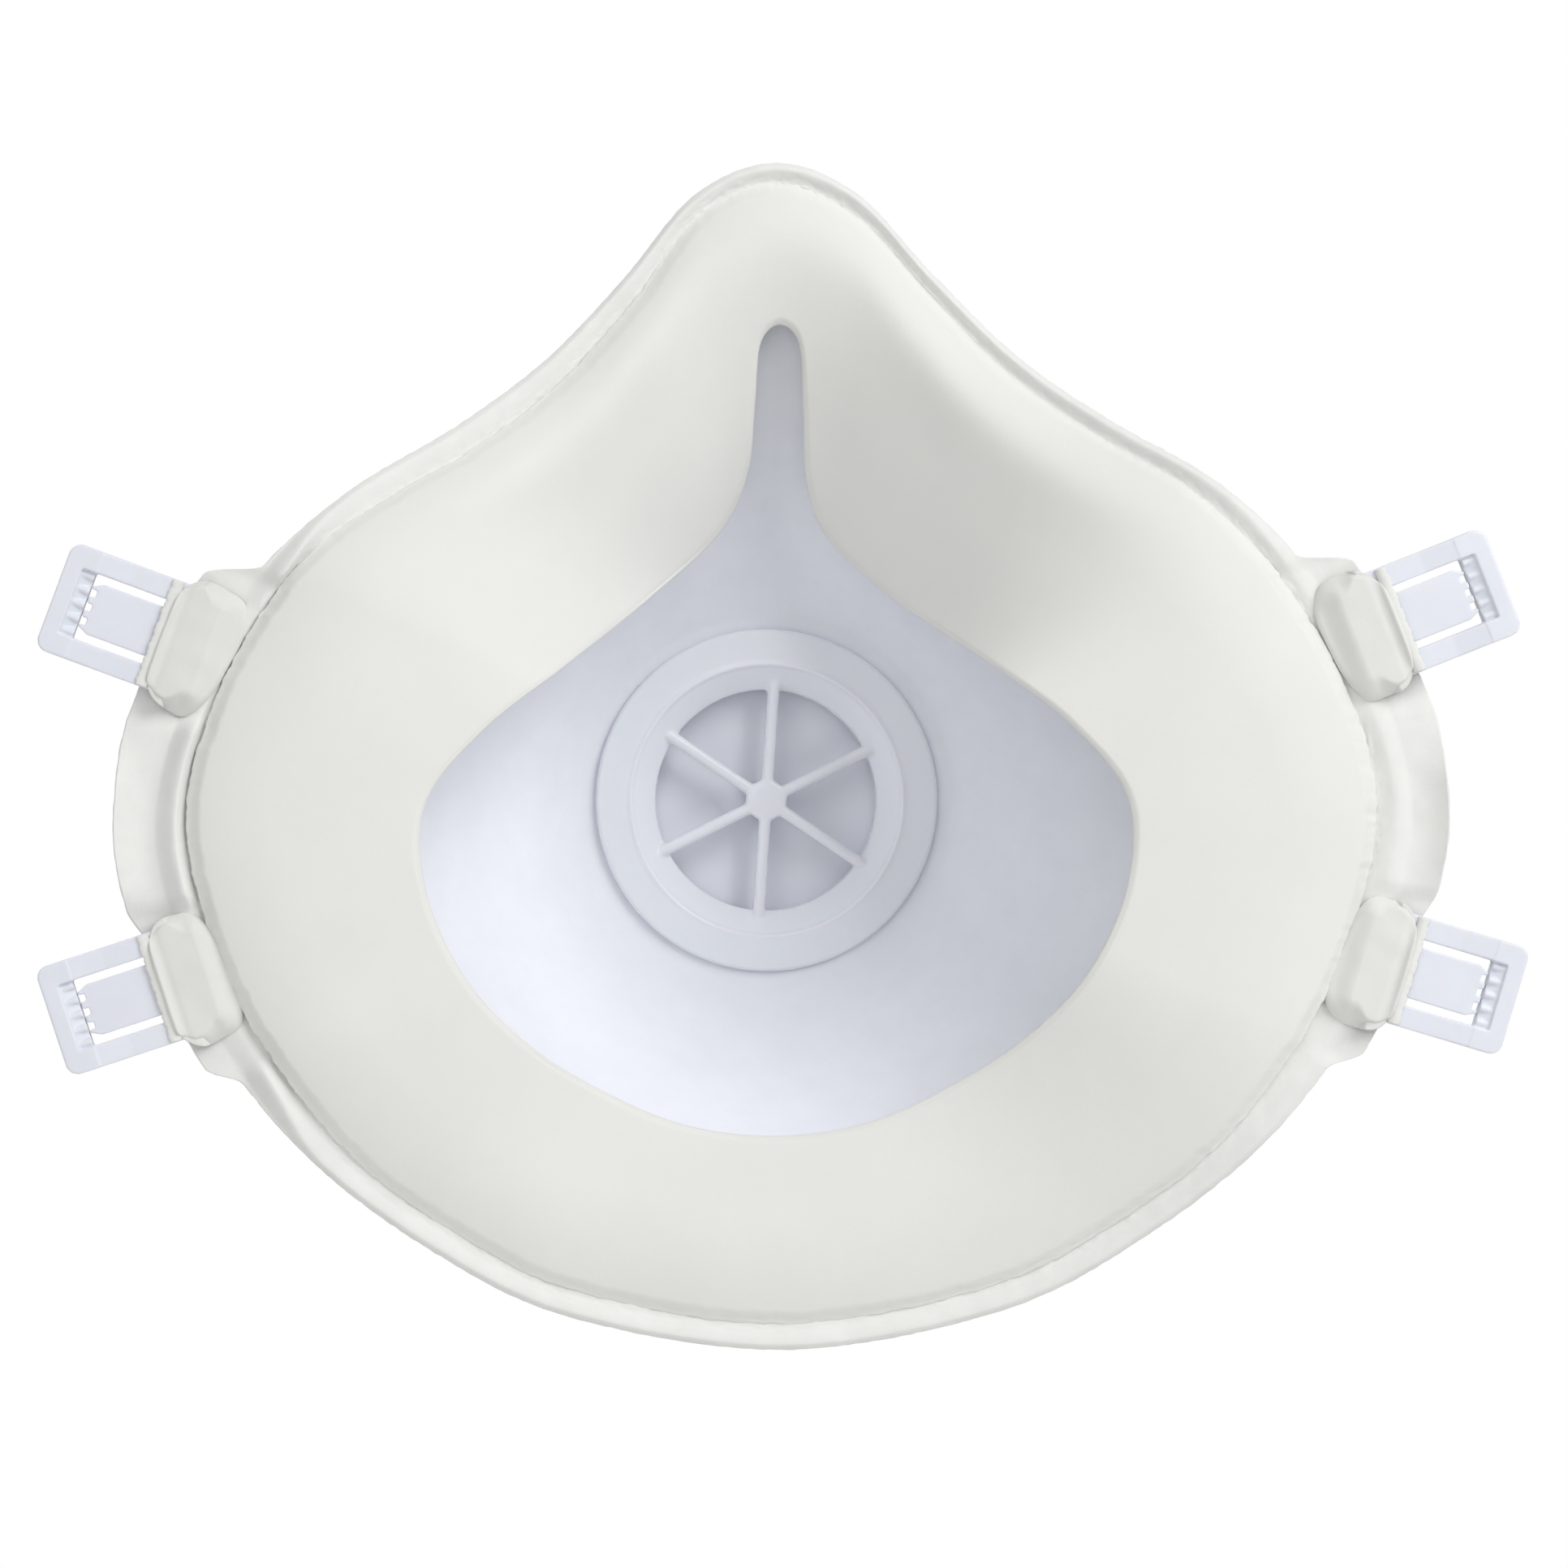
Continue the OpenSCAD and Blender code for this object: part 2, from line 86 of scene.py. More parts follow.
FLANGE_W, EDGE_TRIM, LOWER_CUT, UPPER_ADD = 4.3, 0.2, 0.33, 0.8
LOBE_RISE, EDGE_T = 1.6, 1.3
BUCKLE_Y, FRAME_T, BUCKLE_W = -1.2, 1.5, 12.7
CONE_DEPTH, SPOKE_TURN = 2.6, 4.5

# ---- Sizes of the soft cup, which the CAD part keeps plainer --------------------------

NOSE_LEAN = 0.95  # how far the nose leans to the right
OPENING_SHIFT = 0.9  # how far the lower half of the seal's opening sits to the left
SEAM_SKEW = 0.6  # how far the seam moves to the right on both upper flanks
EDGE_ROUND = 0.12  # rounding of the cover's trimmed edge
SEAL_SWELL = 1.6  # how much prouder the seal stands between the cheeks and the nose

# ---- Curves ---------------------------------------------------------------------------


def ease(x):
    t = np.clip(x, 0, 1)
    return t * t * (3 - 2 * t)


def mix(a, b, t):
    return a + (b - a) * t


def smooth_half(points, steps):
    """A smooth half outline of `steps` points a span, with level ends on the centreline."""
    p = np.array(points, float)
    p = np.vstack([p[1] * [-1, 1], p, p[-2] * [-1, 1]])
    t = np.arange(steps)[:, None] / steps
    spans = []
    for a, b, c, d in zip(p, p[1:], p[2:], p[3:]):
        spans.append(0.5 * (2 * b + (c - a) * t + (2 * a - 5 * b + 4 * c - d) * t**2
                            + (3 * b - a - 3 * c + d) * t**3))
    return np.vstack(spans + [p[-2:-1]])


def smooth_loop(points, steps):
    half = smooth_half(points, steps)
    return np.vstack([half, half[-2:0:-1] * [-1, 1]])


def polar(points):
    """Angle in degrees and radius round the valve's axis."""
    x, z = points[..., 0], points[..., 1] - VALVE_Z
    return np.degrees(np.arctan2(z, x)), np.hypot(x, z)


def folded(angle):
    """The angle's height above the horizontal, from -90 to 90, alike on both sides."""
    return np.degrees(np.arcsin(np.sin(np.radians(angle))))


RIM_ANGLE, RIM_RADIUS = polar(smooth_half(RIM, 40)[::-1])


def rim_r(angle):
    return np.interp(folded(angle), RIM_ANGLE, RIM_RADIUS)


def rim_y(angle):
    """The rim is level along the cheeks and comes forward at the nose and the chin."""
    s = np.sin(np.radians(angle))
    rise = ease((np.abs(s) - LEVEL_SINE) / (1 - LEVEL_SINE))
    return rise * np.where(s > 0, NOSE_FORWARD, CHIN_FORWARD)


def dome_y(angle, r):
    """The shell's wearer side: a bell from the rim to the flat round the valve."""
    v = np.clip((r - FLAT_R) / (rim_r(angle) - FLAT_R), 0, 1)
    bell = (1 + np.cos(np.pi * v**BELL_POWER)) / 2
    return rim_y(angle) + (CUP_DEPTH - rim_y(angle)) * bell


def layer_y(angle, r, depth):
    """Depth below the wearer's side of the shell, thickened along Y where the dome is steep."""
    rise = (dome_y(angle, r + 1) - dome_y(angle, r - 1)) / 2
    return dome_y(angle, r) + depth * np.minimum(1.7, np.sqrt(1 + rise**2))


def control(angle, table):
    """A smooth value round the rim, from (angle above the horizontal, value) pairs."""
    a, v = zip(*table)
    x = folded(angle)
    k = np.clip(np.searchsorted(a, x) - 1, 0, len(a) - 2)
    a, v = np.array(a, float), np.array(v, float)
    return mix(v[k], v[k + 1], ease((x - a[k]) / (a[k + 1] - a[k])))


def seam_in(angle):
    """Distance of the seal's welded edge inside the rim."""
    return control(angle, [(-90, 2.8), (-45, 3.0), (-24, 4.3), (-5, 4.0), (8, 3.7), (17, 3.3),
                           (30, 2.7), (60, 2.4), (90, 2.0)])


def waviness(points, size, count=40):
    """Smooth random height from -1 to 1 over points in mm, with bumps about `size` mm across."""
    total = np.zeros(points.shape[:-1])
    for _ in range(count):
        direction = rng.normal(size=3)
        direction /= np.linalg.norm(direction)
        total += np.sin(points @ direction * (2 * np.pi / size * rng.uniform(0.6, 1.6))
                        + rng.uniform(0, 2 * np.pi))
    return total / math.sqrt(count) / 1.4


# Drawn once, so that every patch can share it
FIELD = [(rng.normal(size=3), rng.uniform(0.7, 1.6), rng.uniform(0, 6.3)) for _ in range(30)]


def waviness_field(points, size=4.5):
    """The same random unevenness for every patch, without more random draws."""
    total = 0
    for direction, pace, phase in FIELD:
        unit = direction / np.linalg.norm(direction)
        total = total + np.sin(points @ unit * 2 * np.pi / size * pace + phase)
    return total / math.sqrt(len(FIELD)) / 1.4


# ---- Meshes ---------------------------------------------------------------------------


def add_mesh(name, points, faces):
    """A new object from points in mm. Its faces are turned outwards."""
    points = np.asarray(points, float).reshape(-1, 3) * MM
    quads = np.array([f for f in faces if len(f) == 4])
    a, b, c, d = (points[quads[:, k]] for k in range(4))
    volume = (np.einsum("ij,ij->i", a, np.cross(b, c))
              + np.einsum("ij,ij->i", a, np.cross(c, d))).sum()
    if volume < 0:
        faces = [f[::-1] for f in faces]
    mesh = bpy.data.meshes.new(name)
    mesh.from_pydata(points.tolist(), [], faces)
    mesh.polygons.foreach_set("use_smooth", [True] * len(mesh.polygons))
    mesh.update()
    obj = bpy.data.objects.new(name, mesh)
    bpy.context.scene.collection.objects.link(obj)
    return obj


def ring_faces(rows, count, closed):
    index = np.arange(rows * count).reshape(rows, count)
    if closed:
        index = np.vstack([index, index[:1]])
    low, high = index[:-1], index[1:]
    return np.stack([low, high, np.roll(high, -1, 1), np.roll(low, -1, 1)], -1).reshape(-1, 4).tolist()


def swept_ring(name, rows):
    """A solid ring whose closed section is given as rows of points, each running all the way round."""
    rows = np.array(rows)
    return add_mesh(name, rows, ring_faces(len(rows), rows.shape[1], True))


def capped(name, rows):
    """A solid from rings of points, closed by a face at the first and the last ring."""
    rows = np.array(rows)
    n, count = len(rows), rows.shape[1]
    faces = ring_faces(n, count, False)
    faces += [list(range(count)), list(range((n - 1) * count, n * count))[::-1]]
    return add_mesh(name, rows, faces)


def at_polar(angle, r, y):
    a = np.radians(angle)
    return np.stack([r * np.cos(a), y + 0 * angle, r * np.sin(a) + VALVE_Z], -1)


def leaned(rows):
    """The soft cup's slight lean: its nose sits a little to the right of its cheeks, its tip less so."""
    rows = np.array(rows)
    z = rows[..., 2]
    rows[..., 0] += NOSE_LEAN * ease((z - 18) / 20) * (1 - 0.4 * ease((z - 50) / 18))
    return rows


# ---- Cup ------------------------------------------------------------------------------

STEPS = 36
ANGLES, RIM_RADII = polar(smooth_loop(RIM, STEPS))
SIDE = np.sign(np.cos(np.radians(ANGLES)))
LEVEL = rim_y(ANGLES)
FLANK_START = ease((folded(ANGLES) - 28) / 12)
FLANK_END = ease((85 - folded(ANGLES)) / 12)
SEAM = seam_in(ANGLES) - SEAM_SKEW * SIDE * FLANK_START * FLANK_END


def lobe_window(angle):
    """1 between the two ears of a side, where the flange's edge rises, and 0 elsewhere."""
    a = folded(angle)
    return ease((7 - a) / 6) * ease((a + 10) / 6)


def ear_window(angle):
    """1 under the ear patches, 0 elsewhere."""
    a = folded(angle)
    return np.maximum(ease((a - 7) / 2) * ease((25 - a) / 2), ease((-8 - a) / 2) * ease((a + 27) / 2))


def flange_reach(angle):
    """How far the flange reaches past the rim."""
    a = folded(angle)
    window = ease((25 - a) / 3) * ease((a + 27) / 3)
    full = FLANGE_W * (1 - LOWER_CUT * ease((-8.5 - a) / 4)) + UPPER_ADD * ease(a / 8)
    return mix(EDGE_TRIM, full, window)


def side_window(angle):
    """1 along the cheeks, 0 towards the nose and the chin."""
    a = folded(angle)
    return ease((34 - a) / 12) * ease((a + 38) / 12)


# The bead between the seal's edge and the flange: groove, crest and foot, each at a height and
# at a distance inside the rim. On the cheeks it is low on the right and proud on the left.
CHEEK, EAR = side_window(ANGLES), ear_window(ANGLES)
GROOVE_Y = mix(-0.6, 0.25, CHEEK)
CREST_IN = mix(0.55, np.where(SIDE > 0, 1.5, 2.7), CHEEK)
CREST_Y = mix(-1.4, np.where(SIDE > 0, -0.5, -1.9), CHEEK) * (1 - 0.75 * EAR)
FOOT_IN = mix(-0.3, np.where(SIDE > 0, -0.3, 0.35), CHEEK)
FOOT_Y = mix(-0.2, 0.25, EAR) - 0.7 * (1 - CHEEK)
REACH = flange_reach(ANGLES)
EDGE_IN = -REACH + EDGE_ROUND


def front_y(inside):
    """The cover's wearer side past the seam, at a distance inside the rim: groove, bead, flange."""
    inner = mix(CREST_Y, GROOVE_Y, ease((inside - CREST_IN) / (SEAM - CREST_IN)))
    outer = mix(FOOT_Y, CREST_Y, ease((inside - FOOT_IN) / (CREST_IN - FOOT_IN)) ** 0.8)
    part = np.clip(-inside / REACH, 0, 1)
    return LEVEL + np.where(inside > CREST_IN, inner, outer) - LOBE_RISE * lobe_window(ANGLES) * part**2


def cover_shell():
    """Outer web: back of the filter, out to the trimmed edge along the front, and back over the dome."""
    base = FILTER_DEPTH + COVER_GAP
    hidden, front = 16, 64
    rows = []
    for part in np.linspace(0, 1, hidden):
        r = mix(HOLE_R, RIM_RADII - SEAM - 0.6, part)
        rows.append(at_polar(ANGLES, r, layer_y(ANGLES, r, base)))
    for part in np.linspace(0, 1, front):
        inside = mix(SEAM + 0.25, EDGE_IN, part)
        rows.append(at_polar(ANGLES, RIM_RADII - inside, front_y(inside)))
    front_edge = front_y(EDGE_IN)
    ragged = 0.05 * waviness(at_polar(ANGLES, RIM_RADII, 0), 1.5)
    for part in np.linspace(0.1, 0.9, 7):
        bulge = EDGE_ROUND * np.sin(np.pi * part) ** 0.5
        rows.append(at_polar(ANGLES, RIM_RADII + REACH - EDGE_ROUND + bulge + ragged,
                             front_edge + 0.05 + EDGE_T * part))
    for part in np.linspace(0, 1, 24):
        inside = mix(EDGE_IN, 1.2, part)
        turn = ease((inside + 0.6) / 1.8)
        y = mix(front_y(np.minimum(inside, -0.4)) + EDGE_T, LEVEL + COVER_DEPTH - 0.9, turn)
        rows.append(at_polar(ANGLES, RIM_RADII - inside, y))
    for part in np.linspace(0, 1, 70):
        r = mix(RIM_RADII - 2.2, HOLE_R, part)
        y = layer_y(ANGLES, r, COVER_DEPTH)
        rows.append(at_polar(ANGLES, r, mix(y - 0.3, y, ease(part * 20))))
    rows = np.array(rows)
    shown = slice(hidden, hidden + front)
    r = np.linalg.norm(rows[shown] * [1, 0, 1] - [0, 0, VALVE_Z], axis=-1)
    fuzz = ease(RIM_RADII - r - SEAM + 1.4)
    rows[shown, :, 1] += 0.05 * waviness(rows[shown], 4) + 0.07 * fuzz * waviness(rows[shown], 0.9)
    return swept_ring("cover_shell", leaned(rows))


def shell_layer(name, depth_in, depth_out):
    """One layer under the seal, from the valve's hole to the seam. The one that shows is a little uneven."""
    out, back = np.linspace(0, 1, 90), np.linspace(1, 0, 40)
    rows = []
    for depth, parts in ((depth_in, out), (depth_out, back)):
        for part in parts:
            r = mix(HOLE_R, RIM_RADII - SEAM - 0.7, part)
            rows.append(at_polar(ANGLES, r, layer_y(ANGLES, r, depth)))
    rows = np.array(rows)
    if depth_in == 0:
        front = rows[:len(out)]
        front[..., 1] += 0.035 * waviness(front, 9) * out[:, None]
    return swept_ring(name, leaned(rows))


def seal_face(angle, r):
    """Height of the seal's face: it rises quickly from its edge and follows part of the dome."""
    s = np.sin(np.radians(angle))
    follow = SEAL_SIDE + np.where(s > 0, (SEAL_NOSE - SEAL_SIDE) * np.abs(s) ** 2.9,
                                  (SEAL_CHIN - SEAL_SIDE) * np.abs(s) ** 2.2)
    base = rim_y(angle)
    run = np.clip((rim_r(angle) - r) / CREST_RUN, 0, 1)
    return base + follow * (dome_y(angle, r) - base) - SEAL_CREST * (1 - (1 - run) ** 2)


def face_seal():
    """Formed foam flap: thin rounded lip round the opening, pressed and welded edge at the rim."""
    lip = smooth_loop(OPENING, STEPS)
    lip[:, 0] -= OPENING_SHIFT * (1 - ease((lip[:, 1] + 10) / 40))
    rim = at_polar(ANGLES, RIM_RADII, 0)
    edge = at_polar(ANGLES, RIM_RADII - SEAM, 0)[:, [0, 2]]
    ragged = 0.1 * waviness(rim, 0.9) + 0.08 * waviness(rim, 3)
    outward = (edge - [0, VALVE_Z]) / np.linalg.norm(edge - [0, VALVE_Z], axis=1)[:, None]
    edge = edge + outward * ragged[:, None]

    def row(across, lift=0.0, shift=0.0):
        """One row: from lip to edge, from the face (0) to the back (1), shifted towards the edge in mm."""
        p = mix(lip, edge, across)
        towards = edge - lip
        towards /= np.linalg.norm(towards, axis=1)[:, None]
        p = p + towards * shift
        angle, r = polar(p)
        to_edge = np.linalg.norm(edge - p, axis=1)
        to_lip = np.linalg.norm(lip - p, axis=1)
        crest = np.exp(-(((rim_r(angle) - r - 8) / 4.5) ** 2))
        flank = ease((folded(angle) - 28) / 25) * (1 - 0.65 * ease((folded(angle) - 68) / 16))
        y = seal_face(angle, r) - SEAL_SWELL * crest * flank
        drop = mix(0.45, 1.0, side_window(angle))
        y = y + drop * (1 - ease(to_edge / 1.6)) + 0.16 * np.clip(1 - to_lip / 0.5, 0, 1) ** 2
        thickness = mix(0.7, SEAL_T, ease(to_lip / 6))
        back = np.minimum(np.maximum(seal_face(angle, r), y) + thickness, dome_y(angle, r) - LAYER_GAP)
        return np.stack([p[:, 0], mix(y, back, lift), p[:, 1]], -1)

    parts = np.linspace(0, 1, 90)
    fine = (1 - np.cos(np.pi * parts)) / 2
    face = [row(part) for part in mix(parts, fine, 0.6)]
    round_edge = [row(1, lift, shift) for lift, shift in ((0.3, 0.08), (0.7, 0.06))]
    back = [row(part, 1) for part in np.linspace(1, 0, 30)]
    lip_section = ((0.95, -0.35), (0.7, -0.42), (0.4, -0.3), (0.12, -0.1))
    round_lip = [row(0, lift, shift) for lift, shift in lip_section]
    rows = np.array(face + round_edge + back + round_lip)
    shown = rows[:len(face)]
    near_edge = 1 - ease(np.linalg.norm((shown - shown[-1])[..., [0, 2]], axis=-1) / 1.6)
    shown[..., 1] += 0.09 * waviness(shown, 26) + 0.06 * near_edge * waviness(shown, 0.8)
    return swept_ring("foam_seal", leaned(rows))


def nose_strip():
    """Soft aluminium strip across the nose, on the outside, with rounded long edges."""
    half_span, end_run, half_w, half_t = 47, 2.4, 2.5, 0.35
    from_nose = np.linspace(-half_span, half_span, 160)
    past_end = ((np.abs(from_nose) - (half_span - end_run)) / end_run).clip(0)
    widths = np.sqrt(np.clip(1 - past_end**2, 0.02, 1))
    turn = np.linspace(0, 2 * np.pi, 24, endpoint=False)
    section = [(math.cos(t) * half_w, math.sin(t) * half_t) for t in turn]
    rings = []
    for a, width in zip(90 + from_nose, widths):
        ring = []
        for across, lift in section:
            across = math.copysign(min(abs(across) * 1.12, half_w), across) * width
            r = rim_r(a) - 13 + across
            y = layer_y(np.array(a), r, COVER_DEPTH + 0.4) + 0.1 + lift
            ring.append(at_polar(np.array(a), r, y))
        rings.append(ring)
    return capped("nose_strip", leaned(rings))


# ---- Moulded plastic ------------------------------------------------------------------


def softened(name, node, voxel, passes, extra=()):
    """A copy of a CAD solid, joined with `extra` solids and given the soft edges of a moulding."""
    source = bpy.data.objects.new(name + "_raw", frame["nodes"][node].data.copy())
    bpy.context.scene.collection.objects.link(source)
    for other in extra:
        with bpy.context.temp_override(active_object=source, selected_editable_objects=[source, other]):
            bpy.ops.object.join()
    remesh = source.modifiers.new("remesh", "REMESH")
    remesh.mode = "VOXEL"
    remesh.voxel_size = voxel * MM
    smooth = source.modifiers.new("smooth", "SMOOTH")
    smooth.factor = 0.5
    smooth.iterations = passes
    bpy.context.view_layer.update()
    evaluated = source.evaluated_get(bpy.context.evaluated_depsgraph_get())
    mesh = bpy.data.meshes.new_from_object(evaluated)
    mesh.name = name
    mesh.polygons.foreach_set("use_smooth", [True] * len(mesh.polygons))
    bpy.data.objects.remove(source)
    obj = bpy.data.objects.new(name, mesh)
    bpy.context.scene.collection.objects.link(obj)
    return obj


def valve_ring_points(turn, r, y):
    """Points round the valve's axis, with `turn` in radians."""
    return np.stack([r * np.cos(turn), y + 0 * turn, r * np.sin(turn) + VALVE_Z], -1)


def hub_web():
    """Small star that fillets the hub into its six spokes."""
    crest = CUP_DEPTH - LAYER_GAP - 1 + CONE_DEPTH - 0.75
    turn = np.radians(np.arange(0, 360, 5))
    star = 2.45 + 1.3 * np.clip(np.cos(6 * (turn - math.radians(90 - SPOKE_TURN))), 0, 1) ** 3
    section = [(0.05, 1.6), (0.97, 1.6), (1, 0), (0.9, -0.25), (0.05, -0.35)]
    return capped("hub_web", [valve_ring_points(turn, star * scale, crest + y) for scale, y in section])


def lip_bead():
    """Fine bead along the inner edge of the seat's flange."""
    turn = np.radians(np.arange(0, 360, 2))
    bead_r = 0.28
    rows = []
    for t in np.radians(np.arange(0, 360, 30)):
        r, y = 16.25 + bead_r * math.cos(t), CUP_DEPTH - 0.95 + bead_r * math.sin(t)
        rows.append(valve_ring_points(turn, r, y))
    return swept_ring("lip_bead", rows)


def diaphragm():
    """Thin rubber disc, very slightly dished, with a rounded edge and a hole for its pin."""
    turn = np.linspace(0, 2 * np.pi, 192, endpoint=False)
    front = CUP_DEPTH + 6.03
    section = [(1.25, 0.06), (1.6, 0), (5, 0.02), (9, 0.02), (12.6, 0), (14, 0.0), (14.35, 0.12), (14.4, 0.3),
               (14.3, 0.5), (14, 0.6), (9, 0.6), (4, 0.6), (1.6, 0.6), (1.25, 0.54)]
    return swept_ring("diaphragm_disc", [valve_ring_points(turn, r, front + y) for r, y in section])


# ---- Ears -----------------------------------------------------------------------------

CORNERS = {j["name"].replace("buckle_swing_", ""): j for j in frame["joints"]
           if j["name"].startswith("buckle_swing_")}
# Distances outwards from a buckle's hinge
EAR_OUT, STRIP_OUT = 2.0, 2.65
TONGUE_TIP = 10.6
RAMP_START, RAMP_END = 6.5, 11.2
# Distances across a buckle: the spans of a tongue's four teeth, and a rail's inner side
TEETH = ((-2.46, -2.06), (-1.22, -0.42), (0.42, 1.22), (2.06, 2.46))
RAIL_IN = 3.87
# Heights: the front of the rails, and how far a tongue and a ramp's ends reach from the middle
FRONT_Y = BUCKLE_Y - FRAME_T / 2 - 0.02
TONGUE_HALF_T, RAMP_LOW, RAMP_HIGH = 0.53, 0.70, 1.36
PAD_CROWN = -2.3


def corner_points(corner, u, y, w):
    """Points in mm from a buckle's own frame: u outwards from its hinge, w across it."""
    joint = CORNERS[corner]
    hinge = np.array(joint["pos_m"]) * 1000
    across = np.array(joint["axis"], float)
    across *= np.sign(across[2])
    side = np.sign(hinge[0])
    out = np.array([abs(across[2]) * side, 0, 0.0])
    out[2] = -out[0] * across[0] / across[2]
    return (hinge * [1, 0, 1] + np.multiply.outer(u, out) + np.multiply.outer(w, across)
            + np.multiply.outer(y, [0, 1, 0]))


def ear_patch(corner):
    """Soft oval that welds a buckle's root to the cup, with a raised lip along its outer edge."""
    upper = corner.startswith("upper")
    inner, low, high, widen = (-6.6, -7.7, 7.3, 0.2) if upper else (-6.2, -7.9, 7.3, -0.2)
    centre_u, half_u = (EAR_OUT + inner) / 2, (EAR_OUT - inner) / 2
    centre_w, half_w = (low + high) / 2, (high - low) / 2
    turn = np.linspace(0, 2 * np.pi, 180, endpoint=False)
    squareness = 2.9
    power = 2 / squareness
    unit_u = np.sign(np.cos(turn)) * np.abs(np.cos(turn)) ** power
    unit_w = np.sign(np.sin(turn)) * np.abs(np.sin(turn)) ** power
    unit_u = unit_u * (1 + widen * unit_w * np.clip(-unit_u, 0, 1))
    wobble = 1 + 0.03 * waviness(np.stack([8 * unit_u, 8 * unit_w, 0 * turn], -1), 9)

    def top_y(u, w, rim):
        """rim is 0 at the outline and 1 well inside it."""
        lip = np.exp(-(((u - (EAR_OUT - 0.45)) / 0.34) ** 2))
        trough = np.exp(-(((u - (EAR_OUT - 1.4)) / 0.5) ** 2))
        rails = ease((u + 2.9) / 2)
        ends = ease((np.abs(w) - mix(4.8, 6.4, rails)) / mix(3, 1.4, rails))
        fall = 1 - (1 - ends) * (1 - ease((-3.3 - u) / 3))
        crown = PAD_CROWN + 1.5 * fall - 0.38 * lip * (1 - 0.6 * fall) + 0.12 * trough
        over_rails = ease((u + 1.2) / 1.5) * ease((6.8 - np.abs(w)) / 1.2)
        return mix(mix(-0.1, crown + 0.3, over_rails), crown, np.sqrt(1 - (1 - rim) ** 2))

    def bottom_y(u):
        return mix(-0.05, FRONT_Y, ease((u + 1.6) / 0.7))

    def outline(scale):
        return centre_u + half_u * scale * unit_u * wobble, centre_w + half_w * scale * unit_w * wobble

    rings = []
    for scale in (0.02, 0.3, 0.6, 0.85, 0.97, 1.0):
        u, w = outline(scale)
        rings.append(corner_points(corner, u, bottom_y(u) - 0.05 * (scale == 1), w))
    for scale in 1 - np.linspace(0, 1, 48) ** 1.5 * 0.98:
        u, w = outline(scale)
        depth_in = (1 - scale) * np.minimum(half_u, half_w)
        points = corner_points(corner, u, top_y(u, w, np.clip(depth_in / 0.55, 0, 1)), w)
        points[:, 1] += 0.06 * waviness_field(points) + 0.09 * waviness_field(points, 11)
        rings.append(points)
    return capped(f"ear_pad_{corner}", rings)


def tooth_tips(corner):
    """Lengthens the tongue's four teeth until they all but touch the bar."""
    tips = []
    for k, (w0, w1) in enumerate(TEETH):
        rings = []
        for u, shrink in ((TONGUE_TIP - 0.5, 0.02), (TONGUE_TIP + 0.14, 0.02), (TONGUE_TIP + 0.2, 0.12)):
            w = np.array([w0 + shrink, w1 - shrink, w1 - shrink, w0 + shrink])
            y = BUCKLE_Y + (TONGUE_HALF_T - shrink) * np.array([-1, -1, 1, 1])
            rings.append(corner_points(corner, np.full(4, u), y, w))
        tips.append(capped(f"tooth_{k}", rings))
    return tips


def rail_ramps(corner):
    """Lets each rail thicken gently into the bar."""
    ramps = []
    for side in (-1, 1):
        rings = []
        for w in side * np.array([RAIL_IN, BUCKLE_W / 2 - 0.02]):
            u = np.array([RAMP_START, RAMP_END, RAMP_END, RAMP_START])
            y = BUCKLE_Y + np.array([-RAMP_LOW, -RAMP_HIGH, RAMP_HIGH, RAMP_LOW])
            rings.append(corner_points(corner, u, y, np.full(4, w)))
        ramps.append(capped(f"ramp_{side}", rings))
    return ramps


def ear_strip(corner):
    """Thin margin of the patch that laps over the rails and the tongue's root."""
    half_w = BUCKLE_W / 2 - 0.1
    rings = []
    for w in np.linspace(-half_w, half_w, 80):
        end = STRIP_OUT + 0.06 * math.sin(w * 3.1) + 0.05 * math.sin(w * 7.7 + 1)
        section = [(1.3, 0), (1.3, -0.3), (end - 0.25, -0.28), (end - 0.05, -0.2), (end, -0.1), (end - 0.03, 0)]
        u, y = np.array(section).T
        rings.append(corner_points(corner, u, FRONT_Y + y, np.full(len(u), w)))
    return capped(f"ear_strip_{corner}", rings)


# ---- Materials ------------------------------------------------------------------------


def material(name, colour, roughness, **inputs):
    mat = bpy.data.materials.new(name)
    mat.use_nodes = True
    shader = mat.node_tree.nodes["Principled BSDF"]
    shader.inputs["Base Color"].default_value = (*colour, 1)
    shader.inputs["Roughness"].default_value = roughness
    for key, value in inputs.items():
        shader.inputs[key.replace("_", " ")].default_value = value
    return mat


def texture(mat, kind, scale, stretch=(1, 1, 1), **settings):
    """A texture node on object coordinates. Its scale is in features a metre."""
    nodes, links = mat.node_tree.nodes, mat.node_tree.links
    place, mapping, tex = (nodes.new("ShaderNodeTexCoord"), nodes.new("ShaderNodeMapping"),
                           nodes.new(f"ShaderNodeTex{kind}"))
    mapping.inputs["Scale"].default_value = stretch
    links.new(place.outputs["Object"], mapping.inputs["Vector"])
    links.new(mapping.outputs["Vector"], tex.inputs["Vector"])
    tex.inputs["Scale"].default_value = scale
    for key, value in settings.items():
        tex.inputs[key.replace("_", " ")].default_value = value
    return tex


def add_bump(mat, tex, strength, distance_mm, output="Fac"):
    """Stacks one more bump on a material."""
    nodes, links = mat.node_tree.nodes, mat.node_tree.links
    shader = nodes["Principled BSDF"]
    bump = nodes.new("ShaderNodeBump")
    bump.inputs["Strength"].default_value = strength
    bump.inputs["Distance"].default_value = distance_mm * MM
    links.new(tex.outputs[output], bump.inputs["Height"])
    if shader.inputs["Normal"].is_linked:
        links.new(shader.inputs["Normal"].links[0].from_socket, bump.inputs["Normal"])
    links.new(bump.outputs["Normal"], shader.inputs["Normal"])


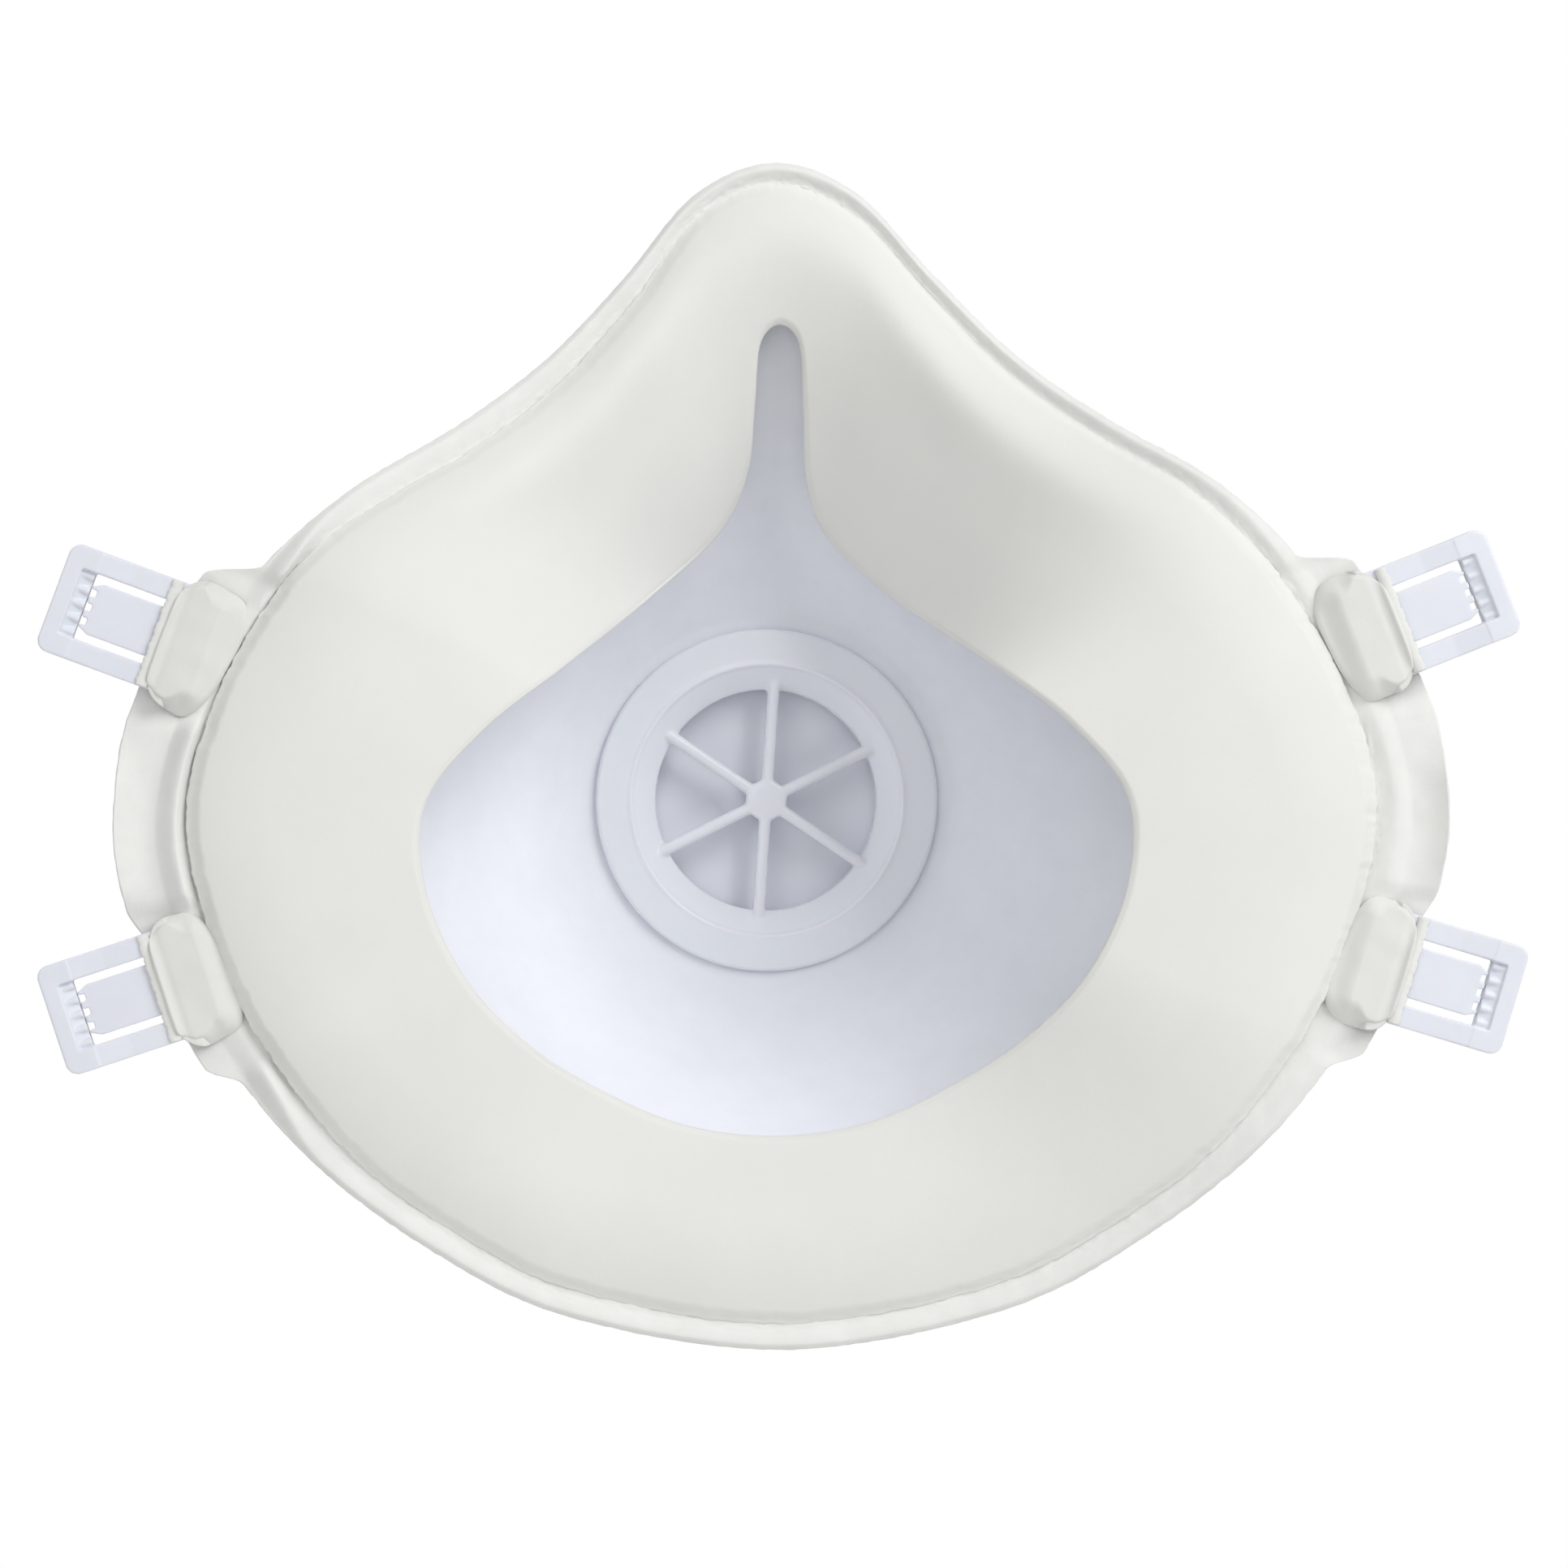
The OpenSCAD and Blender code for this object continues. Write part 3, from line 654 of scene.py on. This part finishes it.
def vary_colour(mat, tex, low, high):
    """Colour that drifts between two values with a texture."""
    nodes, links = mat.node_tree.nodes, mat.node_tree.links
    ramp = nodes.new("ShaderNodeValToRGB")
    ramp.color_ramp.elements[0].position = 0.3
    ramp.color_ramp.elements[1].position = 0.7
    ramp.color_ramp.elements[0].color = (*low, 1)
    ramp.color_ramp.elements[1].color = (*high, 1)
    links.new(tex.outputs["Fac"], ramp.inputs["Fac"])
    links.new(ramp.outputs["Color"], nodes["Principled BSDF"].inputs["Base Color"])


def foam_material(name, low, high):
    mat = material(name, low, 0.92, Sheen_Weight=0.15, Sheen_Roughness=0.6)
    vary_colour(mat, texture(mat, "Noise", 60, Detail=3), low, high)
    add_bump(mat, texture(mat, "Noise", 900, Detail=4, Roughness=0.6), 0.25, 0.06)
    add_bump(mat, texture(mat, "Voronoi", 3200), 0.18, 0.03, "Distance")
    return mat


def felt_material(name, low, high, fibre=0.3):
    """Thermally bonded nonwoven: short fibres lying in all directions, softly mottled."""
    mat = material(name, low, 0.85, Sheen_Weight=0.1, Sheen_Roughness=0.5)
    vary_colour(mat, texture(mat, "Noise", 220, Detail=5, Roughness=0.65), low, high)
    for stretch in ((1, 1, 5), (5, 1, 1), (3, 1, 4)):
        fibres = texture(mat, "Noise", 500, stretch, Detail=3, Roughness=0.6, Distortion=0.8)
        add_bump(mat, fibres, fibre, 0.05)
    return mat


def moulded_material(name, roughness, low, high, drift, grain, strength, depth_mm, **inputs):
    """Smooth moulded plastic or rubber: colour that drifts slowly, and a very fine unevenness."""
    mat = material(name, low, roughness, **inputs)
    vary_colour(mat, texture(mat, "Noise", drift, Detail=2), low, high)
    add_bump(mat, texture(mat, "Noise", grain, Detail=3), strength, depth_mm)
    return mat


def metal_material():
    mat = material("clip_metal", (0.75, 0.76, 0.77), 0.55, Metallic=1.0)
    add_bump(mat, texture(mat, "Noise", 900, (0.08, 1, 1), Detail=3), 0.2, 0.03)
    vary_colour(mat, texture(mat, "Noise", 200, (0.1, 1, 1), Detail=3), (0.70, 0.71, 0.72), (0.8, 0.81, 0.82))
    return mat


FOAM = foam_material("foam", (0.718, 0.718, 0.692), (0.742, 0.740, 0.715))
PRESSED_FOAM = foam_material("pressed_foam", (0.675, 0.675, 0.648), (0.705, 0.704, 0.677))
COVER = felt_material("cover_web", (0.725, 0.725, 0.705), (0.765, 0.765, 0.745), 0.22)
WEB = felt_material("shell_web", (0.832, 0.85, 0.908), (0.862, 0.88, 0.934))
FILTER = felt_material("filter_web", (0.80, 0.80, 0.80), (0.84, 0.84, 0.84))
PLASTIC = moulded_material("valve_plastic", 0.2, (0.845, 0.862, 0.92), (0.865, 0.88, 0.935),
                           drift=90, grain=350, strength=0.08, depth_mm=0.04,
                           Subsurface_Weight=0.12, Subsurface_Scale=0.002)
BUCKLE = moulded_material("buckle_plastic", 0.42, (0.70, 0.725, 0.79), (0.725, 0.75, 0.81),
                          drift=150, grain=700, strength=0.1, depth_mm=0.04,
                          Subsurface_Weight=0.15, Subsurface_Scale=0.0015)
RUBBER = moulded_material("diaphragm_rubber", 0.5, (0.84, 0.86, 0.92), (0.86, 0.88, 0.94),
                          drift=120, grain=900, strength=0.08, depth_mm=0.03)
METAL = metal_material()


def finish_piece(obj, mat, slot, body, *nodes):
    """Gives a new mesh its material, the body it rides on and the CAD nodes it replaces. `slot` is not used."""
    obj.data.materials.clear()
    obj.data.materials.append(mat)
    if body:
        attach(obj, body)
    if nodes:
        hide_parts(*nodes)
    return obj


# ---- Pieces ---------------------------------------------------------------------------

finish_piece(cover_shell(), COVER, "cover_web", "mask", "outer_cover")
finish_piece(shell_layer("inner_web", 0, INNER_T), WEB, "shell_web", "mask", "inner_shell")
finish_piece(shell_layer("filter_layer", INNER_T + LAYER_GAP, FILTER_DEPTH), FILTER, "filter_web", "mask",
             "filter_media")
seal = finish_piece(face_seal(), FOAM, "foam", "mask", "face_seal")
finish_piece(nose_strip(), METAL, "clip_metal", "mask", "nose_clip")
valve_ring = softened("valve_ring", "valve_seat", 0.2, 6, [hub_web(), lip_bead()])
finish_piece(valve_ring, PLASTIC, "valve_plastic", "mask", "valve_seat")
valve_cap = softened("valve_cap", "valve_cover", 0.25, 4)
finish_piece(valve_cap, PLASTIC, "valve_plastic", "mask", "valve_cover")
finish_piece(diaphragm(), RUBBER, "diaphragm_rubber", "diaphragm", "valve_diaphragm")

for corner in CORNERS:
    buckle = softened(f"buckle_{corner}", f"buckle_frame_{corner}", 0.12, 5, rail_ramps(corner))
    finish_piece(buckle, BUCKLE, "buckle_plastic", f"buckle_{corner}", f"buckle_frame_{corner}")
    tongue = softened(f"tongue_{corner}", f"buckle_tongue_{corner}", 0.1, 4, tooth_tips(corner))
    finish_piece(tongue, BUCKLE, "buckle_plastic", f"tongue_{corner}", f"buckle_tongue_{corner}")
    patch = finish_piece(ear_patch(corner), PRESSED_FOAM, "foam", None, f"ear_patch_{corner}")
    start, end = corner_points(corner, np.array([-1.0, 0.8]), np.full(2, BUCKLE_Y), np.zeros(2)) * MM
    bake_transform(patch)
    finish_piece(ear_strip(corner), FOAM, "foam", f"buckle_{corner}")
    anchor = frame["nodes"][f"buckle_anchor_{corner}"]
    anchor.data.materials.clear()
    anchor.data.materials.append(BUCKLE)

# ---- Floor, light and camera ----------------------------------------------------------


def floor():
    """Plain pale floor, well below the part."""
    mesh = bpy.data.meshes.new("floor")
    x, y0, y1, z = 0.6, -0.5, 0.45, -0.2
    mesh.from_pydata([(-x, y0, z), (x, y0, z), (x, y1, z), (-x, y1, z)], [], [(0, 1, 2, 3)])
    obj = bpy.data.objects.new("floor", mesh)
    mesh.materials.append(material("floor", (0.85, 0.85, 0.85), 0.8))
    bpy.context.scene.collection.objects.link(obj)


def world(light, shown):
    """White surroundings that light the object by `light` and show behind it as `shown`."""
    scene_world = bpy.data.worlds.new("studio")
    scene_world.use_nodes = True
    nodes, links = scene_world.node_tree.nodes, scene_world.node_tree.links
    background = nodes["Background"]
    background.inputs["Color"].default_value = (1, 1, 1, 1)
    path, blend = nodes.new("ShaderNodeLightPath"), nodes.new("ShaderNodeMix")
    blend.inputs["A"].default_value = light
    blend.inputs["B"].default_value = shown
    links.new(path.outputs["Is Camera Ray"], blend.inputs["Factor"])
    links.new(blend.outputs["Result"], background.inputs["Strength"])
    bpy.context.scene.world = scene_world


def soft_box(name, direction, distance, size, share):
    """A square area light aimed at the cup. `share` is the brightness it gives a white surface facing it."""
    light = bpy.data.lights.new(name, "AREA")
    light.size = size
    light.energy = share * math.pi**2 * distance**2
    obj = bpy.data.objects.new(name, light)
    aim = np.array(direction, float) / np.linalg.norm(direction)
    target = np.array([0, 0.02, -0.003])
    obj.location = target + aim * distance
    obj.rotation_euler = Vector(-aim).to_track_quat("-Z", "Y").to_euler()
    bpy.context.scene.collection.objects.link(obj)


def camera(azimuth, distance, height, roll):
    """Level camera on a circle round the part, turned by `roll` about its line of sight."""
    data = bpy.data.cameras.new("camera")
    data.lens, data.sensor_width = 142.5, 36
    data.clip_start, data.clip_end = 0.05, 10
    obj = bpy.data.objects.new("camera", data)
    a = math.radians(azimuth)
    back = Vector((-math.sin(a), -math.cos(a), 0))
    obj.location = back * distance + Vector((0, 0, height))
    level = (-back).to_track_quat("-Z", "Y").to_matrix().to_4x4()
    obj.rotation_euler = (level @ Matrix.Rotation(math.radians(roll), 4, "Z")).to_euler()
    bpy.context.scene.collection.objects.link(obj)
    bpy.context.scene.camera = obj


floor()
world(light=0.32, shown=1.0)
soft_box("key", (0.6, -0.62, 0.55), 0.85, 0.55, 0.70)
soft_box("fill", (-0.5, -1, 0.5), 1.3, 1.2, 0.32)
soft_box("back", (-0.6, 1, 0.9), 1.4, 1.0, 0.4)
camera(azimuth=3, distance=0.70, height=-0.0031, roll=-0.7)
bpy.context.scene.view_settings.view_transform = "Standard"
